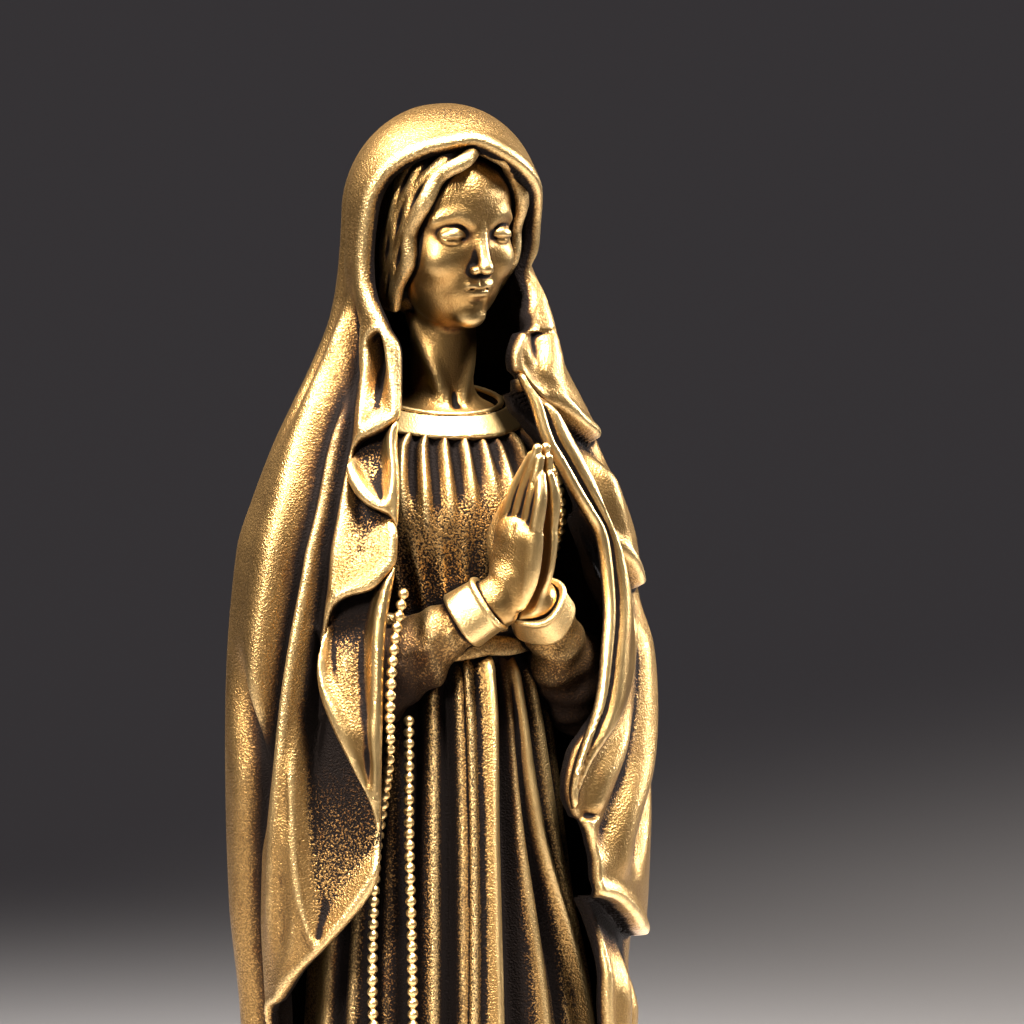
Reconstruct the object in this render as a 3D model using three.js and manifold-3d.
// A cast brass Madonna statuette: a veiled figure with her hands joined in prayer, on an oval base.
// Millimetres, +Z up. The figure looks towards -Y, so her right side is at -X.
// The origin is the centre of the underside.

import * as THREE from "three";
import { mergeVertices } from "three/addons/utils/BufferGeometryUtils.js";
import Module from "manifold-3d";

const wasm = await Module();
wasm.setup();

const DEGREE = Math.PI / 180;

// ---------------------------------------------------------------- driving dimensions

const CLEARANCE = 0.15; // between neighbouring castings
const DOWEL_CLEARANCE = 0.08; // around a dowel or the screw in its bore

const FELT_THICKNESS = 0.5;
const BASE_HEIGHT = 2.7;
const BASE_HALF_WIDTH = 9.7;
const BASE_HALF_DEPTH = 7.9;
const BASE_STEP = 0.7; // how far the upper tier of the base is set in
const FELT_INSET = 0.6; // from the base's edge to the felt's

const SCREW_RADIUS = 1.2;
const SCREW_HEAD_RADIUS = 2.2;
const SCREW_HEAD_DEPTH = 1.2;
const SCREW_LENGTH = 7;

const SKIRT_HEIGHT = 35.2;
const BODICE_HEIGHT = 9;
const NECK_LENGTH = 3.3;
const HEAD_HEIGHT = 8.4; // chin to crown
const HEAD_HALF_WIDTH = 2.6;
const HEAD_HALF_DEPTH = 3.05;
const HAIR_THICKNESS = 0.35; // at its thinnest, between head and hood
const NECK_RADIUS = 1.3;
const PLEATS = 14; // round the skirt
const PLEAT_DEPTH = 0.22;

const MANTLE_THICKNESS = 0.75;
const MANTLE_FOLDS = 9; // round the mantle
const DEGREES_PER_MM = 8; // along the cloth, for a margin at its edges
const MANTLE_FOLD_DEPTH = 0.22;
const LINING_THICKNESS = 0.5;

const SASH_HALF_HEIGHT = 0.95;
const SASH_THICKNESS = 0.45;
const SASH_TAIL_WIDTH = 1.9;
const SASH_TAIL_LENGTH = 22;
const COLLAR_RADIUS = 0.42;

const HAND_PLANE = 1; // x of the plane where the palms meet
const HAND_LENGTH = 6.9; // wrist to fingertips
const PALM_HALF_WIDTH = 1.35;
const PALM_THICKNESS = 0.92;
const SLEEVE_RADIUS = 1.2; // at the wrist
const SLEEVE_FLARE = 0.45; // added at the elbow
const CUFF_LENGTH = 1.45;
const CUFF_WALL = 0.3;
const CUFF_SPREAD = 0.1; // wider towards the elbow
const WRIST_RADIUS = 0.75;

const DOWEL_RADIUS = 0.3;
const DOWEL_REACH = 1.35; // into the sleeve
const DOWEL_TIP = 0.7; // into the hand
const HEAD_DOWEL_RADIUS = 0.6;
const HEAD_DOWEL_LENGTH = 4;

const BEAD_RADIUS = 0.27;
const BEAD_PITCH = 0.72;
const CORD_RADIUS = 0.12; // the cast web between two beads
const CROSS_HEIGHT = 3;
const CROSS_WIDTH = 1.9;
const CROSS_BAR = 0.45;

// ---------------------------------------------------------------- levels

const SOLE = FELT_THICKNESS + BASE_HEIGHT; // the top of the base
const WAIST = SOLE + CLEARANCE + SKIRT_HEIGHT;
const NECKLINE = WAIST + BODICE_HEIGHT;
const CHIN = NECKLINE + NECK_LENGTH;
const CROWN = CHIN + HEAD_HEIGHT;
const MANTLE_TOP = CROWN + CLEARANCE + MANTLE_THICKNESS;

const HEAD_CENTRE = new THREE.Vector3(-0.1, -0.5, CHIN + HEAD_HEIGHT / 2);
const HEAD_TURN = 10 * DEGREE; // towards her left
const HEAD_NOD = 6 * DEGREE; // chin down

const HAND_TILT = 14 * DEGREE; // fingertips forward
const WRIST_LEVEL = WAIST + 1.5;
const WRIST_Y = -4.9;

// ---------------------------------------------------------------- curves and sections

// A smooth curve through knots [place, value], in rising order of place, and level beyond its ends.
function curve(knots) {
  const slope = (i) => {
    if (i === 0 || i === knots.length - 1) return 0;
    return (knots[i + 1][1] - knots[i - 1][1]) / (knots[i + 1][0] - knots[i - 1][0]);
  };
  return (place) => {
    const last = knots.length - 1;
    if (place <= knots[0][0]) return knots[0][1];
    if (place >= knots[last][0]) return knots[last][1];
    const i = knots.findIndex((knot) => knot[0] > place) - 1;
    const span = knots[i + 1][0] - knots[i][0];
    const t = (place - knots[i][0]) / span;
    const tt = t * t;
    const ttt = tt * t;
    return (
      (2 * ttt - 3 * tt + 1) * knots[i][1] +
      (ttt - 2 * tt + t) * span * slope(i) +
      (3 * tt - 2 * ttt) * knots[i + 1][1] +
      (ttt - tt) * span * slope(i + 1)
    );
  };
}

// A column of oval sections. Each station is [z, half width, half depth, centre y].
function column(stations) {
  const [halfWidth, halfDepth, centreY] = [1, 2, 3].map((k) =>
    curve(stations.map((station) => [station[0], station[k]])),
  );
  // The point at an angle from the front (towards +X), pushed out, at a share of the radius.
  return (angle, z, out = 0, share = 1) =>
    new THREE.Vector3(
      share * (halfWidth(z) + out) * Math.sin(angle),
      centreY(z) - share * (halfDepth(z) + out) * Math.cos(angle),
      z,
    );
}

const gown = column([
  [SOLE, 6.7, 5.5, -0.1],
  [SOLE + 10, 6, 5, -0.1],
  [WAIST - 14, 5.4, 4.65, -0.1],
  [WAIST - 4, 4.5, 4.05, 0],
  [WAIST, 3.9, 3.45, 0],
  [WAIST + 2.2, 4.2, 3.6, 0],
  [NECKLINE - 4, 4.8, 3.75, 0],
  [NECKLINE - 1.4, 4.9, 3.1, 0.2],
  [NECKLINE + 0.2, 2.9, 2.3, 0.4],
]);

const SKULL_HALF_HEIGHT = HEAD_HEIGHT * 0.375;
const HOOD_LEVEL = CROWN - SKULL_HALF_HEIGHT - 0.35; // where the hood's dome begins
const HOOD_HALF_WIDTH = HEAD_HALF_WIDTH + HAIR_THICKNESS + CLEARANCE + MANTLE_THICKNESS;
const HOOD_HALF_DEPTH = HEAD_HALF_DEPTH + HAIR_THICKNESS + CLEARANCE + MANTLE_THICKNESS;
const ELBOW_HALF_WIDTH = 9.1;

const mantleBelow = column([
  [SOLE, 8.1, 6.9, 0],
  [SOLE + 9, 8.1, 6.9, 0],
  [WAIST - 16, 8.4, 6.8, 0],
  [WAIST - 11, 8.9, 6.7, 0],
  [WAIST - 2.8, ELBOW_HALF_WIDTH, 6.5, 0],
  [WAIST + 3.4, ELBOW_HALF_WIDTH - 0.55, 6, 0.3],
  [NECKLINE - 3.6, ELBOW_HALF_WIDTH - 1.2, 5.7, 0.35],
  [NECKLINE - 1.4, 7, 5.2, 0.4],
  [NECKLINE + 0.1, 6.25, 4.8, 0.35],
  [CHIN - 1.5, HOOD_HALF_WIDTH + 1.45, HOOD_HALF_DEPTH + 0.1, 0.3],
  [CHIN + 0.5, HOOD_HALF_WIDTH + 0.55, HOOD_HALF_DEPTH - 0.1, 0],
  [CHIN + 2.6, HOOD_HALF_WIDTH + 0.1, HOOD_HALF_DEPTH - 0.05, -0.3],
  [HOOD_LEVEL, HOOD_HALF_WIDTH, HOOD_HALF_DEPTH, -0.5],
]);

// The mantle's sections, with the hood's dome above HOOD_LEVEL. inset is the depth below the outer face.
function mantle(angle, z, inset = 0) {
  const dome = MANTLE_TOP - inset - HOOD_LEVEL;
  const rise = Math.max(0, (z - HOOD_LEVEL) / dome);
  const share = Math.sqrt(Math.max(0.004, 1 - rise * rise));
  return mantleBelow(angle, Math.min(z, HOOD_LEVEL), -inset, share).setZ(z);
}

// The front edges of the mantle, as [z, degrees from the front]. They swing in and out in cascades.
const rightEdge = curve([
  [SOLE, -105],
  [WAIST - 16.1, -84],
  [WAIST - 13.1, -57],
  [WAIST - 10.6, -38],
  [WAIST - 9, -35.5],
  [WAIST - 7, -38.7],
  [WAIST - 4, -48.4],
  [WAIST - 1, -53.3],
  [WAIST + 0.5, -49.5],
  [WAIST + 1.7, -36.8],
  [WAIST + 2.7, -30],
  [NECKLINE - 5.2, -30.7],
  [NECKLINE - 3.5, -43.2],
  [NECKLINE - 2.3, -51],
  [NECKLINE - 1.1, -49],
  [NECKLINE - 0.4, -36.4],
  [NECKLINE + 0.7, -35],
  [CHIN - 0.5, -45.5],
  [CHIN + 2.6, -75],
  [CROWN - 2.6, -74],
  [CROWN - 1.2, -45],
  [CROWN - 0.6, 9],
]);
const leftEdge = curve([
  [SOLE, 66],
  [WAIST - 16.1, 62],
  [WAIST - 12.7, 58],
  [WAIST - 10.8, 32],
  [WAIST - 8.8, 29.4],
  [WAIST - 6.9, 21.5],
  [WAIST - 4.4, 25.8],
  [WAIST - 2.8, 30.5],
  [WAIST + 0.9, 35.8],
  [NECKLINE - 6.5, 36.4],
  [NECKLINE - 3.2, 31.2],
  [NECKLINE - 1.1, 23.7],
  [CHIN - 2.1, 22],
  [CHIN - 0.4, 52],
  [CHIN + 1.5, 84],
  [CROWN - 2.6, 94],
  [CROWN - 1.2, 66],
  [CROWN - 0.6, 11],
]);

// ---------------------------------------------------------------- solids

function solidOf(geometry) {
  const loose = geometry.index ? geometry.toNonIndexed() : geometry;
  const bare = new THREE.BufferGeometry();
  bare.setAttribute("position", loose.getAttribute("position"));
  const merged = mergeVertices(bare, 1e-4);
  return new wasm.Manifold(
    new wasm.Mesh({
      numProp: 3,
      vertProperties: merged.getAttribute("position").array,
      triVerts: Uint32Array.from(merged.index.array),
    }),
  );
}

function geometryOf(solid) {
  const mesh = solid.getMesh();
  const geometry = new THREE.BufferGeometry();
  geometry.setAttribute("position", new THREE.BufferAttribute(mesh.vertProperties, 3));
  geometry.setIndex(new THREE.BufferAttribute(mesh.triVerts, 1));
  geometry.computeVertexNormals();
  return geometry;
}

// The largest of a solid's bodies, after a cut that may leave slivers behind.
function mainBody(solid) {
  return solid.decompose().reduce((a, b) => (a.volume() > b.volume() ? a : b));
}

// Moves each vertex of a closed stock geometry to place(its position).
function shaped(geometry, place) {
  const position = geometry.getAttribute("position");
  const point = new THREE.Vector3();
  for (let i = 0; i < position.count; i++) {
    place(point.fromBufferAttribute(position, i).clone(), point);
    position.setXYZ(i, point.x, point.y, point.z);
  }
  return geometry;
}

// A closed column from bottom to top through point(angle, z, share of the radius).
function loft(around, levels, point) {
  const stock = new THREE.CylinderGeometry(1, 1, 1, around, levels.length - 1);
  return shaped(stock, (p, out) => {
    const row = Math.round((p.y + 0.5) * (levels.length - 1));
    out.copy(point(Math.atan2(p.x, p.z), levels[row], Math.min(1, Math.hypot(p.x, p.z))));
  });
}

// Levels from low to high, evenly spaced, ends included.
function evenly(low, high, steps) {
  return Array.from({ length: steps + 1 }, (_, i) => low + ((high - low) * i) / steps);
}

// A bent slab: place(across, up, through) for three shares from 0 to 1.
function slab(across, up, place, deep = 1) {
  const stock = new THREE.BoxGeometry(1, 1, 1, across, up, deep);
  return shaped(stock, (p, out) => out.copy(place(p.x + 0.5, p.y + 0.5, p.z + 0.5)));
}

// A bar of a round section that follows a curve, with radius(share of its length).
// A closed curve gives a closed ring.
function rope(path, sides, steps, radius, isRing = false) {
  const frames = path.computeFrenetFrames(steps, isRing);
  const points = path.getSpacedPoints(steps);
  const place = (share, angle, reach) => {
    const i = Math.round(share * steps);
    return points[i]
      .clone()
      .addScaledVector(frames.normals[i], reach * Math.cos(angle))
      .addScaledVector(frames.binormals[i], reach * Math.sin(angle));
  };
  if (isRing) {
    const stock = new THREE.TorusGeometry(2, 1, sides, steps);
    return shaped(stock, (p, out) => {
      const share = (Math.atan2(p.y, p.x) / (2 * Math.PI) + 1) % 1;
      const angle = Math.atan2(p.z, Math.hypot(p.x, p.y) - 2);
      out.copy(place(share, -angle, radius(share)));
    });
  }
  const stock = new THREE.CylinderGeometry(1, 1, 1, sides, steps);
  return shaped(stock, (p, out) => {
    const share = p.y + 0.5;
    const reach = Math.min(1, Math.hypot(p.x, p.z)) * radius(share);
    out.copy(place(share, -Math.atan2(p.z, p.x), reach));
  });
}

function ellipsoid(halfWidth, halfDepth, halfHeight, centre, around = 18, up = 10) {
  const stock = new THREE.SphereGeometry(1, around, up);
  return stock
    .rotateX(Math.PI / 2)
    .scale(halfWidth, halfDepth, halfHeight)
    .translate(centre.x, centre.y, centre.z);
}

// A turned solid of the profile [radius, height], with its axis along Z and its foot at a point.
function turned(profile, around, foot) {
  const outline = profile.map(([radius, height]) => new THREE.Vector2(radius, height));
  const stock = new THREE.LatheGeometry(outline, around).rotateX(Math.PI / 2);
  return stock.translate(foot.x, foot.y, foot.z);
}

// A turned solid whose axis runs from one point towards another.
function turnedAlong(profile, around, from, to) {
  const outline = profile.map(([radius, height]) => new THREE.Vector2(radius, height));
  const stock = new THREE.LatheGeometry(outline, around);
  const up = new THREE.Vector3(0, 1, 0);
  const direction = to.clone().sub(from).normalize();
  stock.applyQuaternion(new THREE.Quaternion().setFromUnitVectors(up, direction));
  return stock.translate(from.x, from.y, from.z);
}

function rod(radius, low, high) {
  return [
    [0, low],
    [radius, low],
    [radius, high],
    [0, high],
  ];
}

// ---------------------------------------------------------------- materials and scene

const cast = { metalness: 1, roughness: 0.35 };
const brassCloth = new THREE.MeshStandardMaterial({ color: 0xc79a4b, ...cast });
const brassGown = new THREE.MeshStandardMaterial({ color: 0x8f6a35, ...cast });
const brassSkin = new THREE.MeshStandardMaterial({ color: 0xbd9450, ...cast });
const brassTrim = new THREE.MeshStandardMaterial({ color: 0xd8b469, ...cast });
const brassBase = new THREE.MeshStandardMaterial({ color: 0xa57c3d, ...cast });
const steel = new THREE.MeshStandardMaterial({ color: 0x8d8f92, metalness: 1, roughness: 0.4 });
const felt = new THREE.MeshStandardMaterial({ color: 0x1f3a2c, metalness: 0, roughness: 0.95 });

const statuette = new THREE.Group();

function add(name, geometry, material, parent = statuette) {
  const mesh = new THREE.Mesh(geometry, material);
  mesh.name = name;
  parent.add(mesh);
  return mesh;
}

// ---------------------------------------------------------------- base, felt and screw

const screwBore = SCREW_RADIUS + DOWEL_CLEARANCE;

// A disc of the base's oval, set in by inset, from 0 up to height.
function ovalTier(inset, bevel, height) {
  const profile = [
    [0, 0],
    [1, 0],
    [1, height - bevel],
    [1 - bevel / BASE_HALF_WIDTH, height],
    [0, height],
  ];
  const stock = turned(profile, 36, new THREE.Vector3());
  return stock.scale(BASE_HALF_WIDTH - inset, BASE_HALF_DEPTH - inset, 1);
}

function makeBase() {
  const lowerTier = BASE_HEIGHT * 0.55;
  const lower = solidOf(ovalTier(0, 0.3, lowerTier));
  const upper = solidOf(ovalTier(BASE_STEP, 0.3, BASE_HEIGHT));
  const seat = [
    [0, -1],
    [SCREW_HEAD_RADIUS + DOWEL_CLEARANCE, -1],
    [SCREW_HEAD_RADIUS + DOWEL_CLEARANCE, CLEARANCE],
    [screwBore, SCREW_HEAD_DEPTH + CLEARANCE],
    [screwBore, BASE_HEIGHT + 1],
    [0, BASE_HEIGHT + 1],
  ];
  const bore = solidOf(turned(seat, 20, new THREE.Vector3()));
  return geometryOf(lower.add(upper).subtract(bore));
}

function makeScrew() {
  const profile = [
    [0, 0],
    [SCREW_HEAD_RADIUS, 0],
    [SCREW_RADIUS, SCREW_HEAD_DEPTH],
    [SCREW_RADIUS, SCREW_LENGTH - 0.4],
    [SCREW_RADIUS - 0.4, SCREW_LENGTH],
    [0, SCREW_LENGTH],
  ];
  const slot = new THREE.BoxGeometry(SCREW_HEAD_RADIUS * 3, 0.5, 0.8);
  return geometryOf(solidOf(turned(profile, 20, new THREE.Vector3())).subtract(solidOf(slot)));
}

const stand = new THREE.Group();
add("felt_pad", ovalTier(FELT_INSET, 0.1, FELT_THICKNESS), felt, stand);
const plinth = new THREE.Group();
plinth.position.z = FELT_THICKNESS;
add("base_plinth", makeBase(), brassBase, plinth);
add("base_screw", makeScrew(), steel, plinth).position.z = CLEARANCE;
stand.add(plinth);
statuette.add(stand);

// ---------------------------------------------------------------- gown

// The skirt, or a stretch of it, pushed out by some amount.
function gownPart(low, high, steps, out, around, pleatDepth) {
  const levels = evenly(low, high, steps);
  return solidOf(
    loft(around, levels, (angle, z, share) => {
      const fade = Math.min(1, Math.max(0, (WAIST - z) / 5));
      const pleat = pleatDepth * fade * Math.cos(PLEATS * angle);
      return gown(angle, z, out + pleat, share);
    }),
  );
}

function makeSkirt() {
  const skirt = gownPart(SOLE + CLEARANCE, WAIST, 9, 0, PLEATS * 4, PLEAT_DEPTH);
  const depth = FELT_THICKNESS + CLEARANCE + SCREW_LENGTH + CLEARANCE;
  const bore = turned(rod(screwBore, 0, depth), 20, new THREE.Vector3());
  return geometryOf(skirt.subtract(solidOf(bore)));
}

function bodiceSolid(out) {
  return gownPart(WAIST + CLEARANCE - out, NECKLINE + out, 8, out, 32, 0);
}

// The sash is a band round the waist, over the joint of skirt and bodice, fuller at its middle.
function sashBand(out) {
  const levels = evenly(WAIST - SASH_HALF_HEIGHT - out, WAIST + SASH_HALF_HEIGHT + out, 3);
  const band = loft(28, levels, (angle, z, share) => {
    const bulge = 0.12 * Math.cos(((z - WAIST) / SASH_HALF_HEIGHT) * 1.4);
    return gown(angle, z, PLEAT_DEPTH * 0.2 + CLEARANCE + SASH_THICKNESS + bulge + out, share);
  });
  return solidOf(band);
}

// The sash's hanging tail lies on the front of the skirt, and widens a little as it falls.
function sashTail(centreX, length) {
  const top = WAIST - SASH_HALF_HEIGHT - CLEARANCE;
  return slab(3, 12, (across, up, through) => {
    const z = top - length * (1 - up);
    const width = SASH_TAIL_WIDTH * (1.15 - 0.3 * up);
    const x = centreX + width * (across - 0.5);
    const angle = Math.asin(x / gown(Math.PI / 2, z).x);
    return gown(angle, z, PLEAT_DEPTH + CLEARANCE + 0.45 * through);
  });
}

const collarPath = new THREE.CatmullRomCurve3(
  evenly(0, 345, 23).map((degrees) => {
    const angle = degrees * DEGREE;
    const drop = 0.55 * Math.cos(angle);
    return new THREE.Vector3(
      2.35 * Math.sin(angle),
      0.15 - 2.15 * Math.cos(angle),
      NECKLINE - 0.1 - drop,
    );
  }),
  true,
);

function collarRing(out) {
  return rope(collarPath, 7, 26, () => COLLAR_RADIUS + out, true);
}

// ---------------------------------------------------------------- head and hair

const headPose = new THREE.Matrix4()
  .makeTranslation(HEAD_CENTRE)
  .multiply(new THREE.Matrix4().makeRotationZ(HEAD_TURN))
  .multiply(new THREE.Matrix4().makeRotationX(HEAD_NOD));

// The skull, jaw and nose, in the head's own frame, pushed out by some amount.
function headSolid(out) {
  const half = HEAD_HEIGHT / 2;
  const lobe = (halfWidth, halfDepth, halfHeight, y, z) =>
    ellipsoid(halfWidth + out, halfDepth + out, halfHeight + out, new THREE.Vector3(0, y, z));
  const skullLevel = half - SKULL_HALF_HEIGHT - 0.15;
  const skull = lobe(HEAD_HALF_WIDTH, HEAD_HALF_DEPTH, SKULL_HALF_HEIGHT, 0.25, skullLevel);
  const jaw = lobe(HEAD_HALF_WIDTH * 0.75, HEAD_HALF_DEPTH * 0.62, half * 0.6, -1.1, 0.585 * -half);
  const nose = turnedAlong(
    [
      [0, 0],
      [0.25 + out, 0],
      [0.5 + out, half * 0.36],
      [0, half * 0.38 + out],
    ],
    10,
    new THREE.Vector3(0, 0.35 - HEAD_HALF_DEPTH, half * 0.08),
    new THREE.Vector3(0, -0.15 - HEAD_HALF_DEPTH, half * -0.26),
  );
  return [skull, jaw, nose]
    .map((piece) => solidOf(piece.applyMatrix4(headPose)))
    .reduce((a, b) => a.add(b));
}

const neckFoot = new THREE.Vector3(0, 0.1, NECKLINE + CLEARANCE);
const neckTop = new THREE.Vector3(-0.05, -0.2, CHIN + 1.8);

function neckSolid(out) {
  return solidOf(turnedAlong(rod(NECK_RADIUS + out, -out, NECK_LENGTH + 1.8), 16, neckFoot, neckTop));
}

function headDowel(out) {
  const half = HEAD_DOWEL_LENGTH / 2 + out;
  return turned(rod(HEAD_DOWEL_RADIUS + out, -half, half), 14, neckFoot);
}

function makeHead() {
  const whole = headSolid(0).add(neckSolid(0)).subtract(mantleShell(CLEARANCE));
  const bored = mainBody(whole).subtract(solidOf(headDowel(DOWEL_CLEARANCE)));
  return geometryOf(bored);
}

// Levels from low to high: evenly spaced up to the hood, then closer together round its dome.
function hoodLevels(low, high, lowerSteps, domeSteps) {
  const dome = evenly(0, 90, domeSteps)
    .slice(1)
    .map((degrees) => HOOD_LEVEL + (high - HOOD_LEVEL) * Math.sin(degrees * DEGREE));
  return [...evenly(low, HOOD_LEVEL, lowerSteps), ...dome];
}

// A solid with the mantle's sections. point(angle, z) gives its face.
function mantleLoft(around, levels, point) {
  return solidOf(
    loft(around, levels, (angle, z, share) => {
      const axis = mantle(angle, z).add(mantle(angle + Math.PI, z)).multiplyScalar(0.5);
      return axis.lerp(point(angle, z), share).setZ(z);
    }),
  );
}

const MANTLE_FOOT = SOLE + CLEARANCE;

// The hollow inside the mantle, drawn in by some amount. It runs out through the mantle's foot.
function hollow(inset) {
  const depth = MANTLE_THICKNESS + inset;
  const levels = hoodLevels(MANTLE_FOOT - 1, MANTLE_TOP - depth, 12, 5);
  return mantleLoft(28, levels, (angle, z) => mantle(angle, z, depth));
}

// All that stands inside the mantle stays within this.
const insideMantle = hollow(CLEARANCE);

const HAIR_FOOT = CHIN + 0.6;

// Hair fills the hood round the face, and leaves an oval open in front of it.
function makeHair() {
  const aboveChin = new THREE.BoxGeometry(20, 20, 20).translate(0, 0, HAIR_FOOT + 10);
  const cap = insideMantle.intersect(solidOf(aboveChin));
  const faceOpening = turnedAlong(
    rod(1, 0, 8),
    22,
    new THREE.Vector3(0, 0, 0),
    new THREE.Vector3(0, -1, 0),
  )
    .scale(HEAD_HALF_WIDTH * 0.83, 1, HEAD_HEIGHT * 0.39)
    .translate(0, -1, HEAD_HEIGHT * -0.107)
    .applyMatrix4(headPose);
  const worn = cap
    .subtract(headSolid(CLEARANCE))
    .subtract(neckSolid(CLEARANCE))
    .subtract(solidOf(faceOpening));
  return geometryOf(mainBody(worn));
}

// ---------------------------------------------------------------- mantle

function foldAt(angle, z) {
  const fade = Math.min(1, Math.max(0, (CHIN - z) / 12));
  return MANTLE_FOLD_DEPTH * fade * Math.cos(MANTLE_FOLDS * angle);
}

// Everything between the front edges, from near the axis to beyond the cloth, less a margin in degrees.
function frontOpening(margin) {
  const low = SOLE - 1;
  const high = CROWN - 0.6;
  const place = (across, up, through) => {
    const z = low + (high - low) * up;
    const right = rightEdge(z) + margin;
    const left = leftEdge(z) - margin;
    const angle = THREE.MathUtils.lerp(right, left, across) * DEGREE;
    const axis = mantle(angle, z).add(mantle(angle + Math.PI, z)).multiplyScalar(0.5);
    return axis.lerp(mantle(angle, z), 0.05 + 1.6 * through).setZ(z);
  };
  return solidOf(slab(5, 48, place, 4));
}

// The mantle, thickened by some amount on every face.
function mantleShell(out) {
  const levels = hoodLevels(MANTLE_FOOT - out, MANTLE_TOP + out, 17, 5);
  const face = (angle, z) => mantle(angle, z, -foldAt(angle, z) - out);
  const outer = mantleLoft(MANTLE_FOLDS * 4, levels, face);
  const inner = hollow(out);
  return mainBody(outer.subtract(inner).subtract(frontOpening(out * DEGREES_PER_MM)));
}

// ---------------------------------------------------------------- arms and hands

// side is -1 for her right arm and 1 for her left.
function armPoints(side) {
  const wrist = new THREE.Vector3(
    HAND_PLANE + side * (PALM_THICKNESS + CLEARANCE),
    WRIST_Y,
    WRIST_LEVEL,
  );
  const inside = mantle((side * Math.PI) / 2, WAIST - 3.1, MANTLE_THICKNESS).x;
  const elbow = new THREE.Vector3(
    inside - side * (SLEEVE_RADIUS + SLEEVE_FLARE + 0.8),
    -1.2,
    WAIST - 3.1,
  );
  return { wrist, elbow, length: elbow.distanceTo(wrist) };
}

const hidden = {
  bodice: bodiceSolid(CLEARANCE),
  skirt: gownPart(SOLE, WAIST + CLEARANCE, 8, CLEARANCE + PLEAT_DEPTH, 28, 0),
  sash: sashBand(CLEARANCE),
};

function withoutBody(solid) {
  return mainBody(solid.subtract(hidden.bodice).subtract(hidden.skirt).subtract(hidden.sash));
}

function dowelSolid(side, out) {
  const { wrist, elbow } = armPoints(side);
  const pin = rod(DOWEL_RADIUS + out, -DOWEL_TIP - out, DOWEL_REACH + out);
  return solidOf(turnedAlong(pin, 10, wrist, elbow));
}

function sleeveSolid(side, out) {
  const { wrist, elbow, length } = armPoints(side);
  const profile = [
    [0, CUFF_LENGTH * 0.45 - out],
    [SLEEVE_RADIUS + out, CUFF_LENGTH * 0.45 - out],
    [SLEEVE_RADIUS + SLEEVE_FLARE * 0.5 + out, length * 0.5],
    [SLEEVE_RADIUS + SLEEVE_FLARE + out, length * 0.9],
    [SLEEVE_RADIUS + out, length + 0.7],
    [0, length + 1 + out],
  ];
  return solidOf(turnedAlong(profile, 14, wrist, elbow));
}

function makeSleeve(side) {
  const bored = sleeveSolid(side, 0).subtract(dowelSolid(side, DOWEL_CLEARANCE));
  return geometryOf(withoutBody(bored.subtract(mantleShell(CLEARANCE))));
}

// The half of space on one arm's side of the plane where the palms meet.
function armSide(side) {
  const half = new THREE.BoxGeometry(20, 40, 40);
  return solidOf(half.translate(HAND_PLANE + side * (10 + CLEARANCE / 2), WRIST_Y, WRIST_LEVEL));
}

const CUFF_BORE = SLEEVE_RADIUS + SLEEVE_FLARE * 0.25 + CLEARANCE;

// The cuff filled in, pushed out by some amount.
function cuffSolid(side, out) {
  const { wrist, elbow } = armPoints(side);
  const profile = [
    [0, -out],
    [CUFF_BORE + CUFF_WALL + out, -out],
    [CUFF_BORE + CUFF_WALL + CUFF_SPREAD + out, CUFF_LENGTH + out],
    [0, CUFF_LENGTH + out],
  ];
  return solidOf(turnedAlong(profile, 16, wrist, elbow));
}

function makeCuff(side) {
  const { wrist, elbow } = armPoints(side);
  const bore = solidOf(turnedAlong(rod(CUFF_BORE, -1, CUFF_LENGTH + 1), 16, wrist, elbow));
  return geometryOf(withoutBody(cuffSolid(side, 0).subtract(bore).intersect(armSide(side))));
}

// The turned-back front of the mantle, a second layer of cloth just inside the first.
function makeLining(side, nearDegrees, farDegrees, low, high) {
  const lining = slab(5, 14, (across, up, through) => {
    const degrees = THREE.MathUtils.lerp(nearDegrees, farDegrees, across);
    const inset = MANTLE_THICKNESS + 2 * CLEARANCE + LINING_THICKNESS * (1 - through);
    return mantle(degrees * DEGREE, low + (high - low) * up, inset);
  });
  const arm = sleeveSolid(side, CLEARANCE).add(cuffSolid(side, CLEARANCE));
  const strand = solidOf(beads(shoulderBeadPath(), false, CLEARANCE));
  return geometryOf(mainBody(solidOf(lining).intersect(insideMantle).subtract(arm).subtract(strand)));
}

// A hand: palm, joined fingers, thumb and wrist, cut flat where it meets the other hand.
function makeHand(side) {
  const { wrist, elbow } = armPoints(side);
  const raised = new THREE.Matrix4()
    .makeTranslation(new THREE.Vector3(HAND_PLANE, WRIST_Y, WRIST_LEVEL))
    .multiply(new THREE.Matrix4().makeRotationX(HAND_TILT));
  // An egg shape with its half sizes, set at a share of the palm's thickness, and y and z.
  const lobe = (halfWidth, halfDepth, halfHeight, share, y, z) => {
    const centre = new THREE.Vector3(side * PALM_THICKNESS * share, y, z);
    return solidOf(ellipsoid(halfWidth, halfDepth, halfHeight, centre, 12, 8).applyMatrix4(raised));
  };
  const palm = lobe(PALM_THICKNESS * 0.62, PALM_HALF_WIDTH, 2.1, 0.5, 0, 1.9);
  const fingers = lobe(PALM_THICKNESS * 0.5, PALM_HALF_WIDTH * 0.8, 3, 0.5, -0.1, HAND_LENGTH - 3);
  const thumb = lobe(0.35, 0.4, 1.5, 0.45, 1, 3.3);
  const stub = rod(WRIST_RADIUS, -1.2, CUFF_LENGTH * 0.45 - CLEARANCE);
  const hand = palm
    .add(fingers)
    .add(thumb)
    .add(solidOf(turnedAlong(stub, 12, wrist, elbow)))
    .intersect(armSide(side));
  return geometryOf(withoutBody(hand.subtract(dowelSolid(side, DOWEL_CLEARANCE))));
}

// ---------------------------------------------------------------- beads, cross and feet

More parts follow.
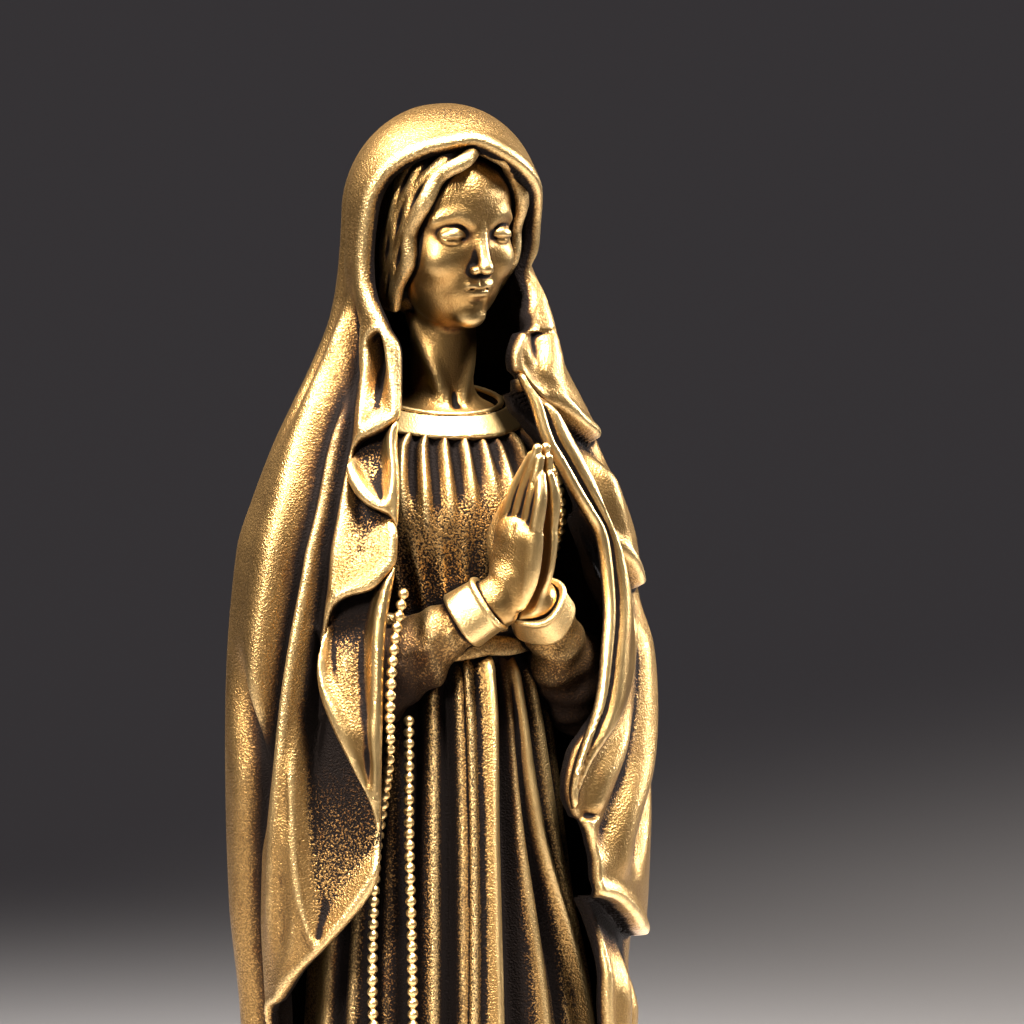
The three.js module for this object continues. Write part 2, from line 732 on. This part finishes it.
// A string of beads cast in one, as a bar whose radius swells at each bead, pushed out by some amount.
function beads(path, isRing, out = 0) {
  const count = Math.round(path.getLength() / BEAD_PITCH);
  const radius = (share) => {
    const swell = Math.abs(Math.cos(Math.PI * share * count));
    return CORD_RADIUS + (BEAD_RADIUS - CORD_RADIUS) * swell + out;
  };
  return rope(path, 5, count * 2, radius, isRing);
}

// A point on the front of the gown, at x and z, lifted off it.
function onGown(x, z, lift) {
  const angle = Math.asin(x / gown(Math.PI / 2, z).x);
  return gown(angle, z, lift);
}

const BEAD_LIFT = PLEAT_DEPTH + BEAD_RADIUS + CLEARANCE + 0.1;
const ROSARY_FOOT = WAIST - 18.5;
const ROSARY_TOP = WAIST - 4.2;
const ROSARY_X = -3.8; // where the loop hangs lowest
const CROSS_TURN = -28 * DEGREE; // it lies flat on the gown's side

// The rosary hangs in a long loop below her right forearm.
function rosaryPath() {
  const outerStrand = [
    [-3.8, ROSARY_TOP],
    [-4.1, WAIST - 8],
    [-4.5, WAIST - 13],
    [-4.4, WAIST - 17],
  ];
  const innerStrand = [
    [-3.2, WAIST - 17],
    [-3.2, WAIST - 13],
    [-3.1, WAIST - 8],
    [-3, ROSARY_TOP],
  ];
  const route = [...outerStrand, [ROSARY_X, ROSARY_FOOT], ...innerStrand];
  return new THREE.CatmullRomCurve3(
    route.map(([x, z]) => onGown(x, z, BEAD_LIFT)),
    true,
  );
}

function makeCross() {
  const drop = BEAD_RADIUS + CLEARANCE + CROSS_HEIGHT / 2;
  const upright = new THREE.BoxGeometry(CROSS_BAR, CROSS_BAR, CROSS_HEIGHT);
  const bar = new THREE.BoxGeometry(CROSS_WIDTH, CROSS_BAR, CROSS_BAR);
  bar.translate(0, 0, CROSS_HEIGHT * 0.18);
  const cross = geometryOf(solidOf(upright).add(solidOf(bar)));
  const centre = onGown(ROSARY_X, ROSARY_FOOT - drop, BEAD_LIFT);
  return cross.rotateZ(CROSS_TURN).translate(centre.x, centre.y, centre.z);
}

function makeFoot(side) {
  const centre = new THREE.Vector3(side * 1.7, -5.2, SOLE + CLEARANCE);
  const foot = solidOf(ellipsoid(0.95, 1.7, 1.1, centre, 12, 8));
  const ground = new THREE.BoxGeometry(8, 8, 4).translate(centre.x, centre.y, centre.z - 2);
  return geometryOf(mainBody(foot.subtract(solidOf(ground)).subtract(hidden.skirt)));
}

// A shorter string of beads falls from her left shoulder, beside the hands.
function shoulderBeadPath() {
  return new THREE.CatmullRomCurve3([
    onGown(2.3, NECKLINE - 1.9, BEAD_RADIUS + CLEARANCE),
    onGown(2.8, NECKLINE - 3.2, BEAD_RADIUS + CLEARANCE),
    onGown(3.3, NECKLINE - 4.8, BEAD_RADIUS + CLEARANCE),
    onGown(3.6, NECKLINE - 6.1, BEAD_RADIUS + CLEARANCE),
  ]);
}

// ---------------------------------------------------------------- assembly

const figure = new THREE.Group();
statuette.add(figure);

add("gown_skirt", makeSkirt(), brassGown, figure);
const collarSeat = solidOf(collarRing(CLEARANCE));
const headBore = solidOf(headDowel(DOWEL_CLEARANCE));
const bodice = bodiceSolid(0).subtract(collarSeat).subtract(headBore);
add("gown_bodice", geometryOf(bodice), brassGown, figure);
add("gown_collar", geometryOf(solidOf(collarRing(0)).subtract(neckSolid(CLEARANCE))), brassTrim, figure);
const sash = sashBand(0).subtract(hidden.bodice).subtract(hidden.skirt);
add("sash_band", geometryOf(sash), brassCloth, figure);
const forearms = sleeveSolid(-1, CLEARANCE).add(sleeveSolid(1, CLEARANCE));
const tail = mainBody(solidOf(sashTail(-0.25, SASH_TAIL_LENGTH)).subtract(forearms));
add("sash_tail", geometryOf(tail), brassGown, figure);
add("head", makeHead(), brassSkin, figure);
add("head_dowel", headDowel(0), steel, figure);
add("hair", makeHair(), brassSkin, figure);
add("mantle", geometryOf(mantleShell(0)), brassCloth, figure);
add("mantle_lining_right", makeLining(-1, -76, -33, WAIST - 10, NECKLINE - 0.6), brassCloth, figure);
add("mantle_lining_left", makeLining(1, 33, 76, WAIST - 9, NECKLINE - 2.5), brassCloth, figure);

for (const [side, name] of [
  [-1, "right"],
  [1, "left"],
]) {
  add("sleeve_" + name, makeSleeve(side), brassCloth, figure);
  add("cuff_" + name, makeCuff(side), brassTrim, figure);
  add("hand_" + name, makeHand(side), brassSkin, figure);
  add("wrist_dowel_" + name, geometryOf(dowelSolid(side, 0)), steel, figure);
  add("foot_" + name, makeFoot(side), brassSkin, figure);
}

add("rosary_beads", beads(rosaryPath(), true), brassTrim, figure);
add("rosary_cross", makeCross(), brassTrim, figure);
add("shoulder_beads", beads(shoulderBeadPath(), false), brassTrim, figure);

export default statuette;
